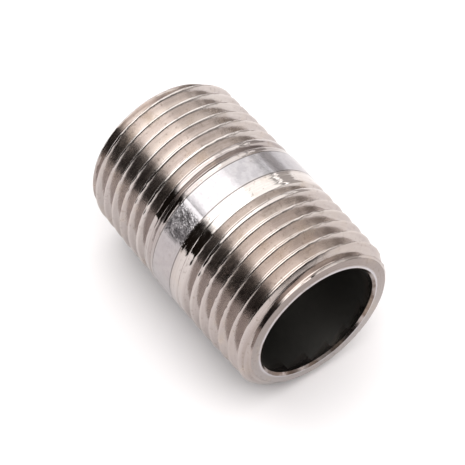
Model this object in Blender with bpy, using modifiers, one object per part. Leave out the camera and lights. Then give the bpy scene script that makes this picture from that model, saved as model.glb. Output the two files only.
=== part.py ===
"""Close pipe nipple: a short steel pipe with a taper thread cut on each end.

It lies along X with its axis through the origin, +Z up. It is worked on along the local Z of an empty,
which turns that axis onto X. The blank is turned, and each thread is a groove cut along a tapered helix.
"""

import math

import bmesh
import bpy

MM = 0.001
INCH = 25.4 * MM

# Pipe
OUTSIDE_DIAMETER = 0.675 * INCH
WALL = 0.091 * INCH
LENGTH = 1.0 * INCH

# Thread form: a sixty degree vee on a taper of one in sixteen on the diameter
THREADS_PER_INCH = 18
VEE_ANGLE = math.radians(60)
HEIGHT_SHARE = 0.8  # thread height over pitch
CREST_FLAT = 0.2 * MM
TAPER = 1 / 32  # growth of the radius for each unit of length from the end

# The standard's rule for the pitch diameter at the end face, which lies below the outside diameter
# by (END_SHARE * outside diameter + END_ALLOWANCE) / threads per inch
END_SHARE = 0.05
END_ALLOWANCE = 1.1 * INCH

# The plain band between the threads, measured from the middle, and the run-out beside it
BAND_TO_POSITIVE_END = 2.3 * MM
BAND_TO_NEGATIVE_END = 1.45 * MM
RUNOUT_LENGTH = 1.8 * MM

# Ends
CHAMFER = 0.8 * MM  # both ways, at 45 degrees
BORE_BEVEL = 0.22 * MM  # both ways, at 45 degrees

# Where each groove crosses its end face, turned about the axis from the local X
POSITIVE_START = math.radians(328)
NEGATIVE_START = math.radians(392)

# Facets, and how far a cutter runs past what it cuts. A facet lies flat under the pipe, so it doesn't
# roll off a corner, and every radius is the true one across the flats.
SEGMENTS = 28
CUTTER_MARGIN = 0.08 * MM
MERGE = 1e-6
SHARP_ANGLE = math.radians(25)

PITCH = INCH / THREADS_PER_INCH
HALF_FACET = math.pi / SEGMENTS
OUTER_RADIUS = OUTSIDE_DIAMETER / 2
BORE_RADIUS = OUTER_RADIUS - WALL
PITCH_DIAMETER_AT_END = OUTSIDE_DIAMETER - (END_SHARE * OUTSIDE_DIAMETER + END_ALLOWANCE) / THREADS_PER_INCH
CREST_RADIUS_AT_END = (PITCH_DIAMETER_AT_END + HEIGHT_SHARE * PITCH) / 2
FLANK_SLOPE = math.tan(VEE_ANGLE / 2)
GROOVE_DEPTH = (PITCH - CREST_FLAT) / 2 / FLANK_SLOPE


def clear_scene():
    for obj in list(bpy.data.objects):
        bpy.data.objects.remove(obj, do_unlink=True)


def new_collection(name):
    collection = bpy.data.collections.new(name)
    bpy.context.scene.collection.children.link(collection)
    return collection


def plated_steel():
    material = bpy.data.materials.new("plated_steel")
    material.use_nodes = True
    shader = material.node_tree.nodes["Principled BSDF"]
    shader.inputs["Base Color"].default_value = (0.62, 0.58, 0.55, 1)
    shader.inputs["Metallic"].default_value = 1
    shader.inputs["Roughness"].default_value = 0.25
    return material


def end_profile():
    """(radius, depth from the end face) along the outside of one end, from the face to the full pipe."""
    face_radius = CREST_RADIUS_AT_END - CHAMFER
    chamfer_depth = CHAMFER / (1 - TAPER)
    cone_depth = (OUTER_RADIUS - CREST_RADIUS_AT_END) / TAPER
    return [
        (face_radius, 0),
        (face_radius + chamfer_depth, chamfer_depth),
        (OUTER_RADIUS, cone_depth),
    ]


def section():
    """The closed half section as (radius, height), down the outside and back up the bore."""
    half = LENGTH / 2
    top = [(radius, half - depth) for radius, depth in end_profile()]
    bottom = [(radius, depth - half) for radius, depth in reversed(end_profile())]
    bore = [
        (BORE_RADIUS + BORE_BEVEL, -half),
        (BORE_RADIUS, BORE_BEVEL - half),
        (BORE_RADIUS, half - BORE_BEVEL),
        (BORE_RADIUS + BORE_BEVEL, half),
    ]
    return top + bottom + bore


def turned_blank(axis):
    """The section turned about the axis, starting from the corner half a facet past the lowest line."""
    points = section()
    mesh = bpy.data.meshes.new("blank")
    corners = [(radius, radius * math.tan(HALF_FACET), height) for radius, height in points]
    edges = [(i, (i + 1) % len(points)) for i in range(len(points))]
    mesh.from_pydata(corners, edges, [])
    blank = bpy.data.objects.new("nipple", mesh)
    blank.parent = axis
    screw = blank.modifiers.new("turn", "SCREW")
    screw.axis = "Z"
    screw.angle = math.tau
    screw.steps = SEGMENTS
    screw.render_steps = SEGMENTS
    screw.use_merge_vertices = True
    screw.merge_threshold = MERGE
    return blank


def vee_outline(collection):
    """The groove's section: its point at the origin, opening outwards along X."""
    height = GROOVE_DEPTH + CUTTER_MARGIN
    outline = bpy.data.curves.new("vee", "CURVE")
    outline.dimensions = "2D"
    spline = outline.splines.new("POLY")
    corners = [(0, 0), (height, height * FLANK_SLOPE), (height, -height * FLANK_SLOPE)]
    spline.points.add(len(corners) - 1)
    for point, (x, y) in zip(spline.points, corners):
        point.co = (x, y, 0, 1)
    spline.use_cyclic_u = True
    vee = bpy.data.objects.new("vee", outline)
    vee.hide_render = True
    collection.objects.link(vee)
    return vee


def root_radius(depth, band_edge):
    """The radius at the groove's point, which climbs out of the pipe over the run-out."""
    root = CREST_RADIUS_AT_END - GROOVE_DEPTH + TAPER * depth
    runout_start = LENGTH / 2 - band_edge - RUNOUT_LENGTH
    root_there = CREST_RADIUS_AT_END - GROOVE_DEPTH + TAPER * runout_start
    climb = (OUTER_RADIUS - root_there) / RUNOUT_LENGTH
    return root + max(0, depth - runout_start) * (climb - TAPER)


def groove_points(side, start, band_edge):
    """The groove's point along its helix, from outside the end face to clear of the pipe.

    A point stands at each corner of the blank, as far out as the corner, so the groove's depth is even.
    """
    step = PITCH / SEGMENTS
    first = -PITCH
    count = math.ceil((LENGTH / 2 - band_edge + PITCH / 2 - first) / step)
    points = []
    for i in range(count):
        depth = first + i * step
        turn = start - side * math.tau * depth / PITCH
        radius = root_radius(depth, band_edge) / math.cos(HALF_FACET)
        height = side * (LENGTH / 2 - depth)
        points.append((radius * math.cos(turn), radius * math.sin(turn), height))
    return points


def groove_cutter(name, side, start, band_edge, vee, axis, collection):
    points = groove_points(side, start, band_edge)
    if side > 0:
        points.reverse()
    path = bpy.data.curves.new(name + "_path", "CURVE")
    path.dimensions = "3D"
    path.twist_mode = "Z_UP"
    path.bevel_mode = "OBJECT"
    path.bevel_object = vee
    path.use_fill_caps = True
    spline = path.splines.new("POLY")
    spline.points.add(len(points) - 1)
    for point, place in zip(spline.points, points):
        point.co = (*place, 1)
    sweep = bpy.data.objects.new(name + "_path", path)
    collection.objects.link(sweep)
    graph = bpy.context.evaluated_depsgraph_get()
    mesh = bpy.data.meshes.new_from_object(sweep.evaluated_get(graph))
    bpy.data.objects.remove(sweep)
    weld(mesh)
    cutter = bpy.data.objects.new(name, mesh)
    cutter.parent = axis
    cutter.hide_render = True
    cutter.display_type = "WIRE"
    collection.objects.link(cutter)
    return cutter


def weld(mesh):
    shape = bmesh.new()
    shape.from_mesh(mesh)
    bmesh.ops.remove_doubles(shape, verts=shape.verts, dist=MERGE)
    bmesh.ops.recalc_face_normals(shape, faces=shape.faces)
    shape.to_mesh(mesh)
    shape.free()


def cut(blank, cutter):
    boolean = blank.modifiers.new(cutter.name, "BOOLEAN")
    boolean.operation = "DIFFERENCE"
    boolean.solver = "EXACT"
    boolean.object = cutter


def finished(blank, axis, collection):
    """The cut blank as one mesh, smooth round its turned faces and sharp along its edges."""
    graph = bpy.context.evaluated_depsgraph_get()
    mesh = bpy.data.meshes.new_from_object(blank.evaluated_get(graph))
    bpy.data.objects.remove(blank)
    mesh.shade_smooth()
    mesh.set_sharp_from_angle(angle=SHARP_ANGLE)
    mesh.materials.clear()
    mesh.materials.append(plated_steel())
    nipple = bpy.data.objects.new("nipple", mesh)
    nipple.parent = axis
    collection.objects.link(nipple)


def main():
    clear_scene()
    pieces = new_collection("pipe_nipple")
    cutters = new_collection("cutters")
    axis = bpy.data.objects.new("pipe_axis", None)
    axis.rotation_euler = (0, math.radians(90), 0)
    pieces.objects.link(axis)
    blank = turned_blank(axis)
    pieces.objects.link(blank)
    vee = vee_outline(cutters)
    positive = groove_cutter("positive_groove", 1, POSITIVE_START, BAND_TO_POSITIVE_END, vee, axis, cutters)
    negative = groove_cutter("negative_groove", -1, NEGATIVE_START, BAND_TO_NEGATIVE_END, vee, axis, cutters)
    cut(blank, positive)
    cut(blank, negative)
    finished(blank, axis, pieces)


main()
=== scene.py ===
"""Looks of the close pipe nipple: one threaded steel piece on a pale floor, under soft studio light.

The piece is one closed skin. Its mesh lines follow the helix of the threads, so that crests and roots are
crisp, and the same lines carry on over the end faces and through the bore.
"""

import math

import bpy
import numpy as np
from mathutils import Matrix, Vector


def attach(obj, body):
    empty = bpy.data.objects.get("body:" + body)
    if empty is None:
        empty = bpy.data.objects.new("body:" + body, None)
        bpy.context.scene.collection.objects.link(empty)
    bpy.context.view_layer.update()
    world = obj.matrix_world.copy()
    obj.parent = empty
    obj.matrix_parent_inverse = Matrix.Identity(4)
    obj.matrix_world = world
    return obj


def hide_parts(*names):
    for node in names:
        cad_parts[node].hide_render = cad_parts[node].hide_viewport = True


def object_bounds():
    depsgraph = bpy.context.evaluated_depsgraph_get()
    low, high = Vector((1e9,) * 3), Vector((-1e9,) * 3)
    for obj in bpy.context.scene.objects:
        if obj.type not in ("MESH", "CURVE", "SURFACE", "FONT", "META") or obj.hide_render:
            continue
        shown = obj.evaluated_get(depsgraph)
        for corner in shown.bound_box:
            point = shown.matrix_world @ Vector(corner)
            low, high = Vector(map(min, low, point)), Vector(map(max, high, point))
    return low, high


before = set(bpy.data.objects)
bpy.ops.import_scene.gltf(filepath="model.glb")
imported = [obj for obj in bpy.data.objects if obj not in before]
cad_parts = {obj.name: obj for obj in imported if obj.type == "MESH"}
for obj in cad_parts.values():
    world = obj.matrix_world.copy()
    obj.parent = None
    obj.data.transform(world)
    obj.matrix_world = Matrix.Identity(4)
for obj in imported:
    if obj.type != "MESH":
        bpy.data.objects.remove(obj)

MM = 0.001
CAD_LOW, CAD_HIGH = [list(corner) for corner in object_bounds()]

# Pipe, in mm. Its length and outside come from the frame, and the rest repeats the CAD model's sizes.
HALF_LENGTH = CAD_HIGH[0] / MM
OUTER_RADIUS = CAD_HIGH[2] / MM
WALL = 2.3114
BORE_RADIUS = OUTER_RADIUS - WALL
PITCHES_LONG = 18  # the pipe is one inch long, with eighteen threads to the inch
PITCH = 2 * HALF_LENGTH / PITCHES_LONG
CREST_RADIUS_AT_END = 8.3369
TAPER = 1 / 32
FLANK_SLOPE = math.tan(math.radians(30))  # of a sixty degree vee
CREST_FLAT = 0.2
GROOVE_DEPTH = (PITCH - CREST_FLAT) / 2 / FLANK_SLOPE
CHAMFER = 0.8
BORE_BEVEL = 0.22
RUNOUT_LENGTH = 1.8
RUNOUT_TO_POSITIVE_END = 2.3
RUNOUT_TO_NEGATIVE_END = 1.45
THREAD_TURN = math.radians(238)  # where the groove of the +X end crosses its face, about +X from +Y
NEGATIVE_SHIFT = 64 / 360  # how far the -X groove lags behind it, in pitches

# Finer shape that only the looks need, in mm
BAND_TO_POSITIVE_END = 1.50
BAND_TO_NEGATIVE_END = 1.24
BAND_STEP = 0.045  # the band stands this far above the turned ends
BAND_STEP_LENGTH = 0.22
EDGE_ROUNDING = 0.17  # where a flank meets a crest
ROOT_ROUNDING = 0.05
CHAMFER_ROUNDING = 0.04
LIP_WIDTH = 0.16  # the narrow ring round the bore, outside which an end face falls back
FACE_DISH = 0.07
FACE_STEP_WIDTH = 0.1

# Wear, in mm. Waves are given as octaves, then the spread of their wave numbers along, in radians per mm,
# and the spread round the pipe.
CREST_WEAR = 0.012
UNEVENNESS = 0.011
UNEVENNESS_WAVES = (3, 2.5, 9)
BURR = 0.03
BURR_WAVES = (1, 0.4, 48)
BURR_THRESHOLD = 0.3  # burrs stand only where their waves rise above this
RIDGE_HEIGHT = 0.02  # of the tool ridges on the chamfers
RIDGE_SPACING = 0.36
RIDGE_WANDER = 0.5  # radians
RIDGES_FROM_FACE = (0.02, 0.1)  # they come in over this distance from the face
CHAMFER_MARKED = 0.8  # share of the chamfer from its face over which its marks are full
CREST_DEPTHS = (0.12, 0.02)  # none to full crest, as depths below the blank in groove depths
THREADED_HALF_WIDTH = 0.1  # groove half width in pitches at which wear is full
WAVES_PER_OCTAVE = 4
OCTAVE_FADE = 0.6
OCTAVE_GROWTH = 1.7

# Mesh grid. A unit is a pitch of the closed section, which runs along the outside from the -X end, over the
# +X face, through the bore and over the -X face. Each unit has a groove's lines and a crest's lines. They
# follow the helix: a line goes once round the pipe and joins the same line of the next unit. A groove's
# lines are placed in half widths from its centre, and a crest's as shares of the way over it.
COLUMNS = 240
GROOVE_LINES = (-1, -0.93, -0.8, -0.6, -0.4, -0.2, -0.07, 0.07, 0.2, 0.4, 0.6, 0.8, 0.93, 1)
CREST_LINES = (0.2, 0.4, 0.6, 0.8)
LINES_PER_UNIT = len(GROOVE_LINES) + len(CREST_LINES)
OUTSIDE_UNITS = PITCHES_LONG
FACE_UNITS = 1
BORE_UNITS = 2
UNITS = OUTSIDE_UNITS + 2 * FACE_UNITS + BORE_UNITS
LEAST_HALF_WIDTH = 0.2  # in pitches, for the groove lines where there is no groove
FULL_HALF_WIDTH = 0.5 - CREST_FLAT / 2 / PITCH
SHIFT_ON_BAND = (-0.5, 1.0)  # units from the middle over which the lines pass from one thread to the other
SHIFT_IN_BORE = (10.5, 11.5)
BEVEL_SHARE = 0.07  # of the bore's units, for each bevel
BEVEL_MARGIN = 0.001  # keeps the bevels' inner edges out of the bore's mark
MARK_BLUR = 0.02  # mm each side of a band edge
SHARP_ANGLE = math.radians(38)
SEED = 7

# Where the outside meets each face, and the places round the section at which its stretches end, in mm
END_PLANE = HALF_LENGTH - FACE_DISH
FACE_RADIUS = CREST_RADIUS_AT_END - CHAMFER + FACE_DISH
BEVEL_EDGE = BORE_RADIUS + BORE_BEVEL
FACE_END = HALF_LENGTH + FACE_UNITS * PITCH
BORE_END = FACE_END + BORE_UNITS * PITCH
WHOLE = UNITS * PITCH

# Patterns in the steel: scale of the noise, its detail and its roughness. Lines and streaks follow the
# turning: they are fine across it, where the scale counts per mm, and long round the pipe, per metre.
TURNED_ACROSS = 4.0
TURNED_ROUND = 90.0
LINES_NOISE = (1.6, 2.0, 0.5)
STREAKS_NOISE = (0.5, 3.0, 0.6)
PITS_NOISE = (5200.0, 1.5, 0.5)
SWIRLS_NOISE = (1700.0, 2.0, 0.55)
STAINS_NOISE = (420.0, 4.0, 0.6)
SPECKS_NOISE = (2600.0, 2.0, 0.5)

# How each pattern shows in a colour: two of the pattern's values, and the colour's share at each of them
STREAKS_SHOW = (0.38, 0.62, 0.0, 0.42)
SWIRLS_SHOW = (0.4, 0.7, 0.0, 0.22)
LINES_SHOW = (0.4, 0.65, 0.0, 0.3)
SATIN_SHOWS = (0.35, 0.65, 0.0, 1.0)
RUNOUT_LINES_SHOW = (0.35, 0.6, 0.3, 0.9)
CHAMFER_LINES_SHOW = (0.4, 0.6, 0.2, 0.8)
RUST_SHOWS = (0.42, 0.56, 0.0, 1.0)
SCUFFS_SHOW = (0.4, 0.6, 0.0, 1.0)
STAINS_SHOW = (0.5, 0.75, 0.0, 1.0)
SPECKS_SHOW = (0.63, 0.69, 0.0, 1.0)
STAIN_SHARES = (0.45, 0.1)  # on the threads, and on the band
SPECK_SHARES = (0.32, 0.1)
RUST_SHARE = 0.9
NICK_SHARE = 0.8

# Where each feature of the steel lies: two places, and the feature's share at each of them
CREST_AT = (0.03, 0.16, 1.0, 0.0)  # in groove depths
# Painted light on the lower part of each flank, with painted shade on its upper part near the crest
LIT_FLANK_AT = (0.35, 1.0, 0.0, 1.0)
RING_AT = (3.1 * MM, 3.5 * MM, 1.0, 0.0)  # from the middle, for the polished ring beside the band
NICK_AT = (0.03 * MM, 0.07 * MM, 1.0, 0.0)  # from each edge of the band, round which runs a fine nick
BEVEL_AT = ((HALF_LENGTH - 0.35) * MM, (HALF_LENGTH - 0.2) * MM, 0.0, 1.0)  # from the middle
RUNOUT_FROM = (-3.4 * MM, -2.8 * MM, 0.0, 1.0)  # along X, for the dark run-out of the -X thread
RUNOUT_TO = (-1.3 * MM, -1.2 * MM, 1.0, 0.0)
# Painted shade on the threads towards +X, and painted light on them towards -X, along X
PAINTED_SHADE_ALONG = (1 * MM, 11 * MM, 0.0, 0.38)
PAINTED_LIGHT_ALONG = (-11 * MM, -3 * MM, 0.22, 0.0)
# Painted shade on the lower side of the pipe
PAINTED_SHADE_BELOW = (3 * MM, 7.2 * MM, 0.5, 0.0)  # along Z, as is the next
UPPER_FACE_AT = (-8 * MM, 8 * MM, 0.0, 1.0)
JAWS = 3  # of the chuck, each of which has scuffed the band
JAW_ANGLE = 137.0  # the middle of one scuff, in degrees about +X from +Y
SCUFF_AT = (8.0, 14.0, 1.0, 0.0)  # degrees from its middle

# Colours of the steel, as red, green, blue and alpha
# Painted shade on the upper part of each flank, and painted light on its lower part
SHADED_UPPER_FLANK = (0.49, 0.445, 0.415, 1)
LIT_LOWER_FLANK = (0.625, 0.58, 0.545, 1)
CREST_COLOUR = (0.68, 0.635, 0.60, 1)
DARK_STREAK = (0.42, 0.365, 0.35, 1)
PALE_SWIRL = (0.68, 0.64, 0.62, 1)
PALE_LINE = (0.72, 0.67, 0.65, 1)
# Painted shade on the threads towards +X, and painted light on them towards -X
SHADED_THREAD = (0.42, 0.355, 0.32, 1)
LIT_THREAD = (0.74, 0.69, 0.66, 1)
DARK_SATIN = (0.41, 0.395, 0.41, 1)
PALE_SATIN = (0.47, 0.455, 0.47, 1)
# Painted shade on the lower side of the pipe
SHADED_UNDERSIDE = (0.36, 0.315, 0.305, 1)
DARK_RUNOUT = (0.34, 0.30, 0.29, 1)
LOWER_FACE = (0.42, 0.385, 0.375, 1)
UPPER_FACE = (0.28, 0.235, 0.215, 1)
LIP_COLOUR = (0.52, 0.50, 0.515, 1)
CHAMFER_LINE = (0.31, 0.26, 0.24, 1)
BARE_BEVEL = (0.36, 0.31, 0.29, 1)
RUST = (0.12, 0.08, 0.06, 1)
SCUFFED = (0.17, 0.16, 0.165, 1)
BROWN_STAIN = (0.50, 0.42, 0.35, 1)
DARK_SPECK = (0.16, 0.12, 0.09, 1)
NICKED = (0.10, 0.085, 0.08, 1)
# Painted shade inside the bore, where little light gets in
SHADED_INNER_WALL = (0.17, 0.165, 0.155, 1)

# Roughness of each surface. A pair is what a pattern moves it between.
THREAD_ROUGHNESS = (0.12, 0.26)
CREST_ROUGHNESS = 0.16
RING_ROUGHNESS = 0.08
BAND_ROUGHNESS = (0.14, 0.26)
SCUFF_ROUGHNESS = 0.34
FACE_ROUGHNESS = 0.34
BORE_ROUGHNESS = 0.42
STAIN_ROUGHNESS = 0.45

# How tall each pattern stands on each surface, as so many times RELIEF
RELIEF = 0.008 * MM
LINES_RELIEF = 0.5
LINES_RELIEF_ON_ENDS = 4.0
LINES_RELIEF_ON_RING = 3.0
LINES_RELIEF_ON_BAND = 0.3
PITS_RELIEF = (0.15, 14.0)  # elsewhere, and in the scuffs
SWIRLS_RELIEF = (0.7, 24.0)
NICK_RELIEF = -1.5

# Floor
FLOOR_REACH = 3.0  # metres each way from the pipe
FLOOR_GAP = 0.02 * MM  # below the pipe
FLOOR_TONES = ((0.85, 0.837, 0.846, 1), (0.87, 0.857, 0.866, 1))
FLOOR_NOISE = (30.0, 3.0, 0.5)  # scale, detail and roughness
FLOOR_ROUGHNESS = 0.9
FLOOR_SPECULAR = 0.2

# Studio light as strips that run parallel to the pipe: where each starts and ends and how soft each edge
# is, in degrees about +X from overhead towards -Y, then its strength and colour. Strips that overlap add up.
STRIPS = (
    (-59, 41, 5, 8, 1.6, (1.0, 0.985, 0.975)),
    (-16, 42, 3, 8, 0.95, (1.0, 0.985, 0.975)),
    (-67.5, -64.5, 1.5, 1.5, 3.0, (1.0, 1.0, 1.0)),
    (-92, -68, 6, 6, 0.55, (1.0, 0.94, 0.92)),
)
STRIP_ENDS = (0.95, 0.68)  # the X of a light's direction at which a strip has ended, and is still full
ROOM_GLOW = (0.012, 0.009, 0.007)

# The camera looks along the line that leaves the pipe's middle at these angles: round from -Y towards +X,
# and up. It stands a little to the side of that line, so that the pipe sits off the middle of the picture.
CAMERA_HEADING = math.radians(54.4)
CAMERA_HEIGHT = math.radians(52.5)
CAMERA_DISTANCE = 186.06 * MM
CAMERA_ASIDE = -0.365 * MM
CAMERA_RAISED = -0.092 * MM
CAMERA_CLIP = 10 * MM
FIELD_OF_VIEW = math.radians(13.262)


def smooth_step(value, low, high):
    share = np.clip((value - low) / (high - low), 0, 1)
    return share * share * (3 - 2 * share)


def smooth_min(a, b, width):
    """The lesser of the two, with the corner between them rounded over about width."""
    share = np.clip(0.5 + 0.5 * (b - a) / width, 0, 1)
    return b + (a - b) * share - width * share * (1 - share)


def wave_noise(rng, along, turn, octaves, axial_scale, turn_scale):
    """Smooth noise, mostly between -1 and 1: along in mm, turn in radians. It closes on itself in turn."""
    total = np.zeros_like(along)
    weight = 0
    for octave in range(octaves):
        strength = OCTAVE_FADE**octave
        growth = OCTAVE_GROWTH**octave
        for _ in range(WAVES_PER_OCTAVE):
            axial = rng.normal(0, axial_scale) * growth
            turns = round(rng.normal(0, turn_scale) * growth)
            total += strength * np.sin(axial * along + turns * turn + rng.uniform(0, math.tau))
        weight += strength * WAVES_PER_OCTAVE / 2
    return total / weight


def cone(x):
    return CREST_RADIUS_AT_END + (HALF_LENGTH - np.abs(x)) * TAPER


def root_radius(x):
    """The radius at the groove's point. It climbs out of the pipe over the run-out."""
    depth = HALF_LENGTH - np.abs(x)
    runout_end = np.where(x > 0, RUNOUT_TO_POSITIVE_END, RUNOUT_TO_NEGATIVE_END)
    start = HALF_LENGTH - runout_end - RUNOUT_LENGTH
    root_at_end = CREST_RADIUS_AT_END - GROOVE_DEPTH
    climb = (OUTER_RADIUS - root_at_end - TAPER * start) / RUNOUT_LENGTH
    return root_at_end + TAPER * depth + np.maximum(0, depth - start) * (climb - TAPER)


def groove_half_width(x):
    """Half the groove's width at the crests, in pitches."""
    crest = np.minimum(cone(x), OUTER_RADIUS)
    return np.clip((crest - root_radius(x)) * FLANK_SLOPE / PITCH, 0, FULL_HALF_WIDTH)


def side_shift(unit):
    """How far the groove lags behind the +X one at this unit, in pitches. The -X groove lags in full."""
    before_band = 1 - smooth_step(unit, *SHIFT_ON_BAND)
    past_bore = smooth_step(unit, *SHIFT_IN_BORE)
    return NEGATIVE_SHIFT * (before_band + past_bore)


def line_half_width(centre):
    """Half the width that the groove lines of a unit take up, in pitches."""
    outside = np.abs(centre) < OUTSIDE_UNITS / 2
    on_thread = np.maximum(groove_half_width(centre * PITCH), LEAST_HALF_WIDTH)
    return np.where(outside, on_thread, FULL_HALF_WIDTH)


def grid_units():
    """(units, centres): where each line lies round the section in each column, and its groove's centre."""
    first = -OUTSIDE_UNITS // 2
    turn = np.arange(COLUMNS) / COLUMNS
    units, centres = [], []
    for unit in range(first, first + UNITS):
        centre = unit + turn
        here = line_half_width(centre)
        after = line_half_width(centre + 1)
        for place in GROOVE_LINES:
            units.append(centre + place * here)
            centres.append(centre)
        for share in CREST_LINES:
            units.append((centre + here) * (1 - share) + (centre + 1 - after) * share)
            centres.append(centre)
    return np.array(units), np.array(centres)


def wrapped(along, centre_x):
    """Both brought back to one turn of the section, which starts at the -X corner of the outside."""
    turns = np.floor((along + HALF_LENGTH) / WHOLE)
    return along - turns * WHOLE, centre_x - turns * WHOLE


def circular_edges():
    bevel = BEVEL_SHARE * BORE_UNITS * PITCH
    lip = FACE_UNITS * PITCH * LIP_WIDTH / (FACE_RADIUS - BEVEL_EDGE)
    return (
        -HALF_LENGTH,
        -BAND_TO_NEGATIVE_END,
        BAND_TO_POSITIVE_END,
        HALF_LENGTH,
        FACE_END - lip,
        FACE_END,
        FACE_END + bevel,
        BORE_END - bevel,
        BORE_END,
        BORE_END + lip,
    )


def snapped(along):
    """The nearest line in each column moved onto each circular edge, so that the edge is crisp."""
    along = along.copy()
    columns = np.arange(along.shape[1])
    for edge in circular_edges():
        distance = np.abs((along - edge + WHOLE / 2) % WHOLE - WHOLE / 2)
        along[distance.argmin(axis=0), columns] = edge
    return along


def vee_radius(x, centre_x):
    """The radius at the flanks of the groove at centre_x and of the next one, whichever is lower."""
    lowest = np.full(np.broadcast(x, centre_x).shape, OUTER_RADIUS * 2)
    for middle in (centre_x, centre_x + PITCH):
        distance = np.hypot(x - middle, ROOT_ROUNDING) - ROOT_ROUNDING
        lowest = np.minimum(lowest, root_radius(middle) + distance / FLANK_SLOPE)
    return lowest


def turned_radius(x):
    """The blank before threading: the band, the lower turned ends, their taper and the chamfers."""
    chamfer = FACE_RADIUS + END_PLANE - np.abs(x)
    beyond_band = np.where(x > 0, x - BAND_TO_POSITIVE_END, -BAND_TO_NEGATIVE_END - x)
    turned = OUTER_RADIUS - BAND_STEP * smooth_step(beyond_band, 0, BAND_STEP_LENGTH)
    return smooth_min(np.minimum(turned, cone(x)), chamfer, CHAMFER_ROUNDING)


def chamfer_share(x):
    """1 over most of the chamfer, eased to 0 where it meets the thread."""
    return smooth_step(np.abs(x), END_PLANE - CHAMFER, END_PLANE - CHAMFER * CHAMFER_MARKED)


def band_share(x):
    """1 on the plain band, eased to 0 over each of its edges."""
    from_negative = smooth_step(x, -BAND_TO_NEGATIVE_END - MARK_BLUR, -BAND_TO_NEGATIVE_END + MARK_BLUR)
    from_positive = smooth_step(x, BAND_TO_POSITIVE_END - MARK_BLUR, BAND_TO_POSITIVE_END + MARK_BLUR)
    return from_negative * (1 - from_positive)


def threaded_radius(rng, x, centre_x, along, turn):
    """(radius, groove): the outside with its threads and wear, and each point's depth in groove depths."""
    blank = turned_radius(x)
    radius = smooth_min(blank, vee_radius(x, centre_x), EDGE_ROUNDING)
    groove = np.clip((blank - radius) / GROOVE_DEPTH, 0, 1)
    uneven = wave_noise(rng, along, turn, *UNEVENNESS_WAVES)
    burrs = np.maximum(0, wave_noise(rng, along, turn, *BURR_WAVES) - BURR_THRESHOLD)
    crest = smooth_step(groove, *CREST_DEPTHS)
    on_thread = smooth_step(groove_half_width(x), 0.0, THREADED_HALF_WIDTH)
    wear = on_thread * (CREST_WEAR + UNEVENNESS * uneven - crest * BURR * burrs)
    to_end = END_PLANE - np.abs(x)
    ridges = RIDGE_HEIGHT * (1 + np.cos(to_end * math.tau / RIDGE_SPACING + RIDGE_WANDER * uneven))
    ridged = smooth_step(to_end, *RIDGES_FROM_FACE) * chamfer_share(x)
    return np.minimum(radius - wear - ridged * ridges, OUTER_RADIUS), groove


def corner_radius(side, turn):
    """Where the outside meets an end face, which the groove notches as it runs out through it."""
    first = OUTSIDE_UNITS / 2 - 1 if side > 0 else -OUTSIDE_UNITS / 2 - 1 - NEGATIVE_SHIFT
    vee = vee_radius(side * END_PLANE, (first + turn / math.tau) * PITCH)
    return smooth_min(np.full_like(vee, FACE_RADIUS), vee, EDGE_ROUNDING)


def face_points(along, corner):
    """(x, radius, fallen) on the end faces. fallen is 1 where a face has fallen back outside its lip."""
    negative = along > BORE_END
    inwards = (along - HALF_LENGTH) / (FACE_END - HALF_LENGTH)
    outwards = (along - BORE_END) / (WHOLE - HALF_LENGTH - BORE_END)
    share = np.where(negative, 1 - outwards, inwards)
    radius = corner + (BEVEL_EDGE - corner) * share
    fallen = smooth_step(radius, BEVEL_EDGE + LIP_WIDTH, BEVEL_EDGE + LIP_WIDTH + FACE_STEP_WIDTH)
    return np.where(negative, -1, 1) * (HALF_LENGTH - FACE_DISH * fallen), radius, fallen


def bore_points(along):
    """(x, radius, past_bevel) through the bore from the +X end. past_bevel leaves out its bevels."""
    share = (along - FACE_END) / (BORE_END - FACE_END)
    stations = (0, BEVEL_SHARE, 1 - BEVEL_SHARE, 1)
    inset = HALF_LENGTH - BORE_BEVEL
    x = np.interp(share, stations, (HALF_LENGTH, inset, -inset, -HALF_LENGTH))
    radius = np.interp(share, stations, (BEVEL_EDGE, BORE_RADIUS, BORE_RADIUS, BEVEL_EDGE))
    return x, radius, np.abs(share - 0.5) < 0.5 - BEVEL_SHARE - BEVEL_MARGIN


def skin_points(rng):
    """(points, marks): every point of the grid in metres, and what the material reads there."""
    units, centres = grid_units()
    along, centre_x = wrapped((units - side_shift(units)) * PITCH, (centres - side_shift(centres)) * PITCH)
    along = snapped(along)
    turn = np.broadcast_to(np.arange(COLUMNS) / COLUMNS * math.tau, along.shape)

    outside = (along > -HALF_LENGTH) & (along < HALF_LENGTH)
    bore = (along >= FACE_END) & (along <= BORE_END)
    face = ((along >= HALF_LENGTH) & (along < FACE_END)) | (along > BORE_END)
    at_positive_end = (along >= HALF_LENGTH) & (along < BORE_END)

    outside_x = np.clip(along, -END_PLANE, END_PLANE)
    outside_radius, groove = threaded_radius(rng, outside_x, centre_x, along, turn)
    corner = np.where(at_positive_end, corner_radius(1, turn), corner_radius(-1, turn))
    face_x, face_radius, fallen = face_points(along, corner)
    bore_x, bore_radius, past_bevel = bore_points(along)
    x = np.select([face, bore], [face_x, bore_x], outside_x)
    radius = np.select([outside, face, bore], [outside_radius, face_radius, bore_radius], corner)

    angle = turn + THREAD_TURN
    points = np.stack([x, radius * np.cos(angle), radius * np.sin(angle)], axis=-1) * MM
    marks = {
        "along": along,
        "band": outside * band_share(x),
        "bore": bore & past_bevel,
        "face": face * fallen,
        "lip": face * (1 - fallen),
        "chamfer": outside * chamfer_share(x),
        "groove": outside * groove,
    }
    return points, marks


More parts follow.
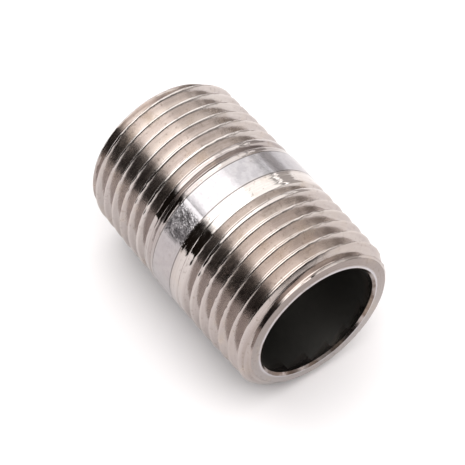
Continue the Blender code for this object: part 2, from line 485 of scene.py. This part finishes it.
def skin_triangles(lines):
    """Two triangles to each cell. A line that goes once round joins the one a unit further on."""
    line, column = np.meshgrid(np.arange(lines), np.arange(COLUMNS), indexing="ij")
    at_last = column + 1 == COLUMNS
    next_column = np.where(at_last, 0, column + 1)
    over = np.where(at_last, LINES_PER_UNIT, 0)

    def index(step_line, step_column):
        rows = (line + step_line + over * step_column) % lines
        return rows * COLUMNS + (next_column if step_column else column)

    a, b, c, d = index(0, 0), index(1, 0), index(1, 1), index(0, 1)
    first = np.stack([d, b, a], axis=-1).reshape(-1, 3)
    second = np.stack([d, c, b], axis=-1).reshape(-1, 3)
    return np.concatenate([first, second])


def threaded_skin(rng):
    points, marks = skin_points(rng)
    triangles = skin_triangles(points.shape[0])
    mesh = bpy.data.meshes.new("nipple_skin")
    mesh.from_pydata(points.reshape(-1, 3).tolist(), [], triangles.tolist())
    for name, values in marks.items():
        mark = mesh.attributes.new(name, "FLOAT", "POINT")
        mark.data.foreach_set("value", values.astype(np.float32).ravel())
    mesh.validate()
    mesh.shade_smooth()
    mesh.set_sharp_from_angle(angle=SHARP_ANGLE)
    skin = bpy.data.objects.new("nipple_skin", mesh)
    bpy.context.scene.collection.objects.link(skin)
    return skin


class Nodes:
    """Short calls that add a node to one tree and join it up. Each takes numbers, colours or sockets."""

    def __init__(self, tree):
        self.tree = tree

    def add(self, kind, settings=None, **inputs):
        node = self.tree.nodes.new(kind)
        for name, value in (settings or {}).items():
            setattr(node, name, value)
        for name, value in inputs.items():
            self.feed(node.inputs[name], value)
        return node

    def feed(self, socket, value):
        if isinstance(value, bpy.types.NodeSocket):
            self.tree.links.new(value, socket)
        else:
            socket.default_value = value

    def math(self, operation, *values):
        node = self.add("ShaderNodeMath", {"operation": operation})
        for socket, value in zip(node.inputs, values):
            self.feed(socket, value)
        return node.outputs[0]

    def product(self, a, b):
        return self.math("MULTIPLY", a, b)

    def largest(self, a, b):
        return self.math("MAXIMUM", a, b)

    def mark(self, name):
        return self.add("ShaderNodeAttribute", {"attribute_name": name}).outputs["Fac"]

    def ranged(self, value, low, high, to_low=0.0, to_high=1.0):
        """Eased from to_low, where the value is low, to to_high, where it is high."""
        node = self.add("ShaderNodeMapRange", {"interpolation_type": "SMOOTHSTEP"})
        for socket, number in zip(node.inputs, (value, low, high, to_low, to_high)):
            self.feed(socket, number)
        return node.outputs[0]

    def outside_of(self, mark):
        return self.ranged(mark, 0.0, 1.0, 1.0, 0.0)

    def mixed(self, data_type, sockets, output, values):
        """A Mix node has sockets of its own for each type of data."""
        node = self.add("ShaderNodeMix", {"data_type": data_type})
        for index, value in zip(sockets, values):
            self.feed(node.inputs[index], value)
        return node.outputs[output]

    def blend(self, share, a, b):
        """From number a to number b."""
        return self.mixed("FLOAT", (0, 2, 3), 0, (share, a, b))

    def mix(self, share, a, b):
        """From colour a to colour b."""
        return self.mixed("RGBA", (0, 6, 7), 2, (share, a, b))

    def layered(self, colour, layers):
        """The colour with each (share, colour) of layers laid over it in turn."""
        for share, layer in layers:
            colour = self.mix(share, colour, layer)
        return colour

    def noise(self, vector, scale, detail, roughness):
        shape = {"Scale": scale, "Detail": detail, "Roughness": roughness}
        return self.add("ShaderNodeTexNoise", Vector=vector, **shape).outputs["Fac"]


class Surface:
    """The places and patterns on the steel that its colour, roughness and relief share, as sockets."""

    def __init__(self, nodes):
        place = nodes.add("ShaderNodeTexCoord").outputs["Object"]
        self.x, self.y, self.z = nodes.add("ShaderNodeSeparateXYZ", Vector=place).outputs
        self.from_middle = nodes.math("ABSOLUTE", self.x)
        self.band = nodes.mark("band")
        self.bore = nodes.mark("bore")
        self.groove = nodes.mark("groove")
        self.face = nodes.mark("face")
        self.lip = nodes.mark("lip")
        self.chamfer = nodes.mark("chamfer")
        self.lines, self.streaks = self.turning_marks(nodes)
        self.pits = nodes.noise(place, *PITS_NOISE)
        self.swirls = nodes.noise(place, *SWIRLS_NOISE)
        self.stains = nodes.noise(place, *STAINS_NOISE)
        self.specks = nodes.noise(place, *SPECKS_NOISE)
        self.crest = nodes.ranged(self.groove, *CREST_AT)
        self.ring = nodes.product(self.crest, nodes.ranged(self.from_middle, *RING_AT))
        self.nick = self.edge_nick(nodes)
        self.scuff = self.jaw_scuffs(nodes)
        stains = nodes.ranged(self.stains, *STAINS_SHOW)
        self.brown = nodes.product(stains, nodes.blend(self.band, *STAIN_SHARES))

    def turning_marks(self, nodes):
        turned = nodes.add("ShaderNodeCombineXYZ")
        nodes.feed(turned.inputs["X"], nodes.product(nodes.mark("along"), TURNED_ACROSS))
        nodes.feed(turned.inputs["Y"], nodes.product(self.y, TURNED_ROUND))
        nodes.feed(turned.inputs["Z"], nodes.product(self.z, TURNED_ROUND))
        return nodes.noise(turned.outputs[0], *LINES_NOISE), nodes.noise(turned.outputs[0], *STREAKS_NOISE)

    def edge_nick(self, nodes):
        """A fine nick round each edge of the band."""
        to_positive = nodes.math("ABSOLUTE", nodes.math("SUBTRACT", self.x, BAND_TO_POSITIVE_END * MM))
        to_negative = nodes.math("ABSOLUTE", nodes.math("ADD", self.x, BAND_TO_NEGATIVE_END * MM))
        to_edge = nodes.math("MINIMUM", to_positive, to_negative)
        return nodes.product(nodes.ranged(to_edge, *NICK_AT), nodes.outside_of(self.bore))

    def jaw_scuffs(self, nodes):
        angle = nodes.math("DEGREES", nodes.math("ARCTAN2", self.z, self.y))
        to_jaw = nodes.math("PINGPONG", nodes.math("SUBTRACT", angle, JAW_ANGLE), 180.0 / JAWS)
        return nodes.product(nodes.ranged(to_jaw, *SCUFF_AT), self.band)


def thread_colour(nodes, on):
    """Warm steel with turning marks. Painted shade makes it duller towards +X and painted light makes it
    brighter towards -X, and each flank has painted shade near its crest and painted light deeper down.
    """
    # Painted shade near the crest of each flank, painted light deeper in the groove
    flank = nodes.mix(nodes.ranged(on.groove, *LIT_FLANK_AT), SHADED_UPPER_FLANK, LIT_LOWER_FLANK)
    return nodes.layered(flank, [
        (on.crest, CREST_COLOUR),
        (nodes.ranged(on.streaks, *STREAKS_SHOW), DARK_STREAK),
        (nodes.ranged(on.swirls, *SWIRLS_SHOW), PALE_SWIRL),
        (nodes.ranged(on.lines, *LINES_SHOW), PALE_LINE),
        # Painted shade towards +X and painted light towards -X
        (nodes.ranged(on.x, *PAINTED_SHADE_ALONG), SHADED_THREAD),
        (nodes.ranged(on.x, *PAINTED_LIGHT_ALONG), LIT_THREAD),
    ])


def runout_share(nodes, on):
    """The dark run-out beside the band's -X edge."""
    past_start = nodes.product(nodes.ranged(on.x, *RUNOUT_FROM), nodes.blend(on.band, 1.0, 0.0))
    runout = nodes.product(past_start, nodes.ranged(on.x, *RUNOUT_TO))
    return nodes.product(runout, nodes.ranged(on.lines, *RUNOUT_LINES_SHOW))


def rusty_share(nodes, on):
    """The bore's bevels, which are all that lies so far out and isn't face, lip or chamfer."""
    end = nodes.largest(nodes.largest(on.face, on.lip), on.chamfer)
    bevel = nodes.product(nodes.ranged(on.from_middle, *BEVEL_AT), nodes.outside_of(end))
    return nodes.product(bevel, RUST_SHARE)


def steel_colour(nodes, on):
    satin = nodes.mix(nodes.ranged(on.swirls, *SATIN_SHOWS), DARK_SATIN, PALE_SATIN)
    worn_face = nodes.mix(nodes.ranged(on.z, *UPPER_FACE_AT), LOWER_FACE, UPPER_FACE)
    rust = nodes.mix(nodes.ranged(on.stains, *RUST_SHOWS), BARE_BEVEL, RUST)
    specks = nodes.ranged(on.specks, *SPECKS_SHOW)
    return nodes.layered(nodes.mix(on.band, thread_colour(nodes, on), satin), [
        # Painted shade on the lower side of the pipe
        (nodes.ranged(on.z, *PAINTED_SHADE_BELOW), SHADED_UNDERSIDE),
        (runout_share(nodes, on), DARK_RUNOUT),
        (on.face, worn_face),
        (on.lip, LIP_COLOUR),
        (nodes.product(on.chamfer, nodes.ranged(on.lines, *CHAMFER_LINES_SHOW)), CHAMFER_LINE),
        (rusty_share(nodes, on), rust),
        (nodes.product(on.scuff, nodes.ranged(on.swirls, *SCUFFS_SHOW)), SCUFFED),
        (on.brown, BROWN_STAIN),
        (nodes.product(specks, nodes.blend(on.band, *SPECK_SHARES)), DARK_SPECK),
        (nodes.product(on.nick, NICK_SHARE), NICKED),
        # Painted shade over the bore's wall
        (on.bore, SHADED_INNER_WALL),
    ])


def steel_roughness(nodes, on):
    thread = nodes.blend(on.crest, nodes.blend(on.lines, *THREAD_ROUGHNESS), CREST_ROUGHNESS)
    thread = nodes.blend(on.ring, thread, RING_ROUGHNESS)
    band = nodes.blend(on.scuff, nodes.blend(on.pits, *BAND_ROUGHNESS), SCUFF_ROUGHNESS)
    rough = nodes.blend(on.band, thread, band)
    rough = nodes.blend(nodes.largest(on.face, on.lip), rough, FACE_ROUGHNESS)
    rough = nodes.blend(on.bore, rough, BORE_ROUGHNESS)
    return nodes.blend(on.brown, rough, STAIN_ROUGHNESS)


def steel_relief(nodes, on):
    lines = nodes.blend(nodes.largest(on.chamfer, on.face), LINES_RELIEF, LINES_RELIEF_ON_ENDS)
    lines = nodes.blend(on.ring, lines, LINES_RELIEF_ON_RING)
    height = nodes.product(on.lines, nodes.blend(on.band, lines, LINES_RELIEF_ON_BAND))
    height = nodes.math("MULTIPLY_ADD", on.pits, nodes.blend(on.scuff, *PITS_RELIEF), height)
    height = nodes.math("MULTIPLY_ADD", on.swirls, nodes.blend(on.scuff, *SWIRLS_RELIEF), height)
    height = nodes.math("MULTIPLY_ADD", on.nick, NICK_RELIEF, height)
    return nodes.add("ShaderNodeBump", Height=height, Distance=RELIEF, Strength=1.0).outputs["Normal"]


def machined_steel():
    material = bpy.data.materials.new("machined_steel")
    material.use_nodes = True
    shader = material.node_tree.nodes["Principled BSDF"]
    shader.inputs["Metallic"].default_value = 1
    nodes = Nodes(material.node_tree)
    surface = Surface(nodes)
    nodes.feed(shader.inputs["Base Color"], steel_colour(nodes, surface))
    nodes.feed(shader.inputs["Roughness"], steel_roughness(nodes, surface))
    nodes.feed(shader.inputs["Normal"], steel_relief(nodes, surface))
    return material


def matt_floor_paint():
    material = bpy.data.materials.new("pale_floor")
    material.use_nodes = True
    nodes = Nodes(material.node_tree)
    shader = material.node_tree.nodes["Principled BSDF"]
    place = nodes.add("ShaderNodeTexCoord").outputs["Object"]
    tone = nodes.noise(place, *FLOOR_NOISE)
    nodes.feed(shader.inputs["Base Color"], nodes.mix(tone, *FLOOR_TONES))
    shader.inputs["Roughness"].default_value = FLOOR_ROUGHNESS
    shader.inputs["Specular IOR Level"].default_value = FLOOR_SPECULAR
    return material


def pale_floor():
    height = CAD_LOW[2] - FLOOR_GAP
    sides = ((-1, -1), (1, -1), (1, 1), (-1, 1))
    corners = [(x * FLOOR_REACH, y * FLOOR_REACH, height) for x, y in sides]
    mesh = bpy.data.meshes.new("floor")
    mesh.from_pydata(corners, [], [(0, 1, 2, 3)])
    mesh.materials.append(matt_floor_paint())
    floor = bpy.data.objects.new("floor", mesh)
    bpy.context.scene.collection.objects.link(floor)


def studio_world():
    world = bpy.data.worlds.new("studio")
    bpy.context.scene.world = world
    world.use_nodes = True
    nodes = Nodes(world.node_tree)
    direction = nodes.add("ShaderNodeTexCoord").outputs["Generated"]
    x, y, z = nodes.add("ShaderNodeSeparateXYZ", Vector=direction).outputs
    angle = nodes.math("DEGREES", nodes.math("ARCTAN2", nodes.product(y, -1.0), z))
    reach = nodes.ranged(nodes.math("ABSOLUTE", x), *STRIP_ENDS)
    total = ROOM_GLOW
    for start, end, start_softness, end_softness, strength, colour in STRIPS:
        after_start = nodes.ranged(angle, start - start_softness, start + start_softness)
        before_end = nodes.ranged(angle, end - end_softness, end + end_softness, strength, 0.0)
        light = nodes.add("ShaderNodeVectorMath", {"operation": "MULTIPLY_ADD"})
        shine = nodes.product(nodes.product(after_start, before_end), reach)
        for socket, value in zip(light.inputs, (colour, shine, total)):
            nodes.feed(socket, value)
        total = light.outputs[0]
    nodes.feed(world.node_tree.nodes["Background"].inputs["Color"], total)


def product_camera():
    right = Vector((math.cos(CAMERA_HEADING), math.sin(CAMERA_HEADING), 0))
    level = Vector((math.sin(CAMERA_HEADING), -math.cos(CAMERA_HEADING), 0))
    back = level * math.cos(CAMERA_HEIGHT) + Vector((0, 0, math.sin(CAMERA_HEIGHT)))
    up = back.cross(right)
    data = bpy.data.cameras.new("camera")
    data.angle = FIELD_OF_VIEW
    data.clip_start = CAMERA_CLIP
    camera = bpy.data.objects.new("camera", data)
    place = back * CAMERA_DISTANCE + right * CAMERA_ASIDE + up * CAMERA_RAISED
    camera.matrix_world = Matrix.Translation(place) @ Matrix((right, up, back)).transposed().to_4x4()
    bpy.context.scene.collection.objects.link(camera)
    bpy.context.scene.camera = camera


bpy.context.scene.view_settings.view_transform = "Standard"
product_camera()
studio_world()
pale_floor()
skin = threaded_skin(np.random.default_rng(SEED))
skin.data.materials.append(machined_steel())
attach(skin, "root")
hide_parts("nipple")
